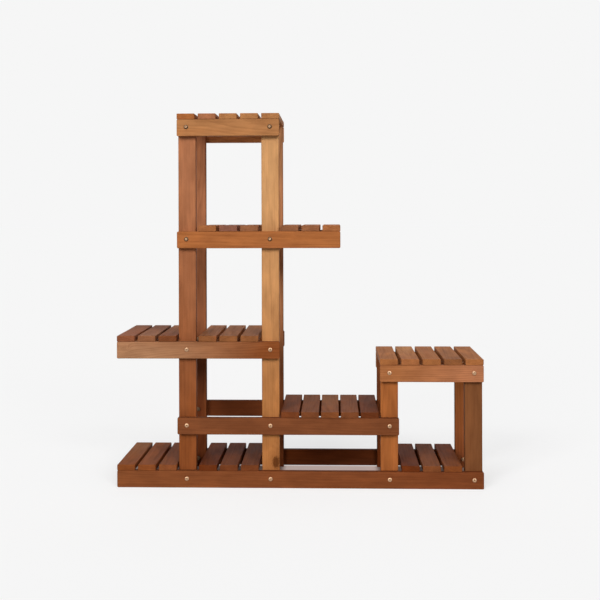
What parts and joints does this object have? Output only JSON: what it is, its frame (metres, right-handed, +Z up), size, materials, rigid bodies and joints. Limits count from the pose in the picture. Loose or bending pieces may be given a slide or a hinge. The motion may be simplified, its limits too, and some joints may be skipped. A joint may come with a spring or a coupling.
{
  "type": "tiered plant stand",
  "caption": "Tiered slatted timber plant stand: paired upright boards with bolted rails carry stepped slat shelves at several heights, with open bays between.",
  "frame": {"origin": "on the floor, under the middle of the stand's bounding box", "axes": "+X to the right along the rails, towards the low side shelf; +Y from the front frame to the back frame; +Z up"},
  "size_m": [0.95, 0.2564, 0.972],
  "materials": {
    "timber_golden": "satin oiled hardwood, golden brown with darker grain",
    "timber_brown": "satin oiled hardwood, mid reddish brown",
    "timber_red": "satin oiled hardwood, dark reddish brown",
    "yellow_zinc": "yellow zinc plated steel, satin",
    "nail_steel": "bright steel, dulled"
  },
  "bodies": {
    "root": {"bottom_rail_back": "timber_red", "bottom_rail_front": "timber_red", "bottom_shelf_slat_1": "timber_red", "bottom_shelf_slat_2": "timber_red", "bottom_shelf_slat_3": "timber_red", "bottom_shelf_slat_4": "timber_red", "bottom_shelf_slat_5": "timber_red", "bottom_shelf_slat_6": "timber_red", "bottom_shelf_slat_7": "timber_red", "bottom_shelf_slat_8": "timber_red", "bottom_shelf_slat_9": "timber_red", "fourth_rail_back": "timber_red", "fourth_rail_front": "timber_red", "fourth_shelf_slat_1": "timber_red", "fourth_shelf_slat_2": "timber_red", "fourth_shelf_slat_3": "timber_red", "fourth_shelf_slat_4": "timber_red", "fourth_shelf_slat_5": "timber_red", "frame_bolts": "yellow_zinc", "frame_nuts": "yellow_zinc", "left_tall_post_back": "timber_brown", "left_tall_post_front": "timber_brown", "middle_short_post_back": "timber_brown", "middle_short_post_front": "timber_brown", "right_short_post_back": "timber_red", "right_short_post_front": "timber_red", "right_tall_post_back": "timber_golden", "right_tall_post_front": "timber_golden", "second_rail_back": "timber_brown", "second_rail_front": "timber_brown", "second_shelf_slat_1": "timber_brown", "second_shelf_slat_2": "timber_brown", "second_shelf_slat_3": "timber_brown", "second_shelf_slat_4": "timber_brown", "second_shelf_slat_5": "timber_brown", "second_shelf_slat_6": "timber_brown", "side_rail_back": "timber_golden", "side_rail_front": "timber_golden", "side_shelf_slat_1": "timber_golden", "side_shelf_slat_2": "timber_golden", "side_shelf_slat_3": "timber_golden", "side_shelf_slat_4": "timber_golden", "side_shelf_slat_5": "timber_golden", "slat_nails": "nail_steel", "third_rail_back": "timber_brown", "third_rail_front": "timber_brown", "third_shelf_slat_1": "timber_brown", "third_shelf_slat_2": "timber_brown", "third_shelf_slat_3": "timber_brown", "third_shelf_slat_4": "timber_brown", "third_shelf_slat_5": "timber_brown", "third_shelf_slat_6": "timber_brown", "top_rail_back": "timber_golden", "top_rail_front": "timber_golden", "top_shelf_slat_1": "timber_golden", "top_shelf_slat_2": "timber_golden", "top_shelf_slat_3": "timber_golden", "top_shelf_slat_4": "timber_golden", "top_shelf_slat_5": "timber_golden"}
  },
  "joints": []
}
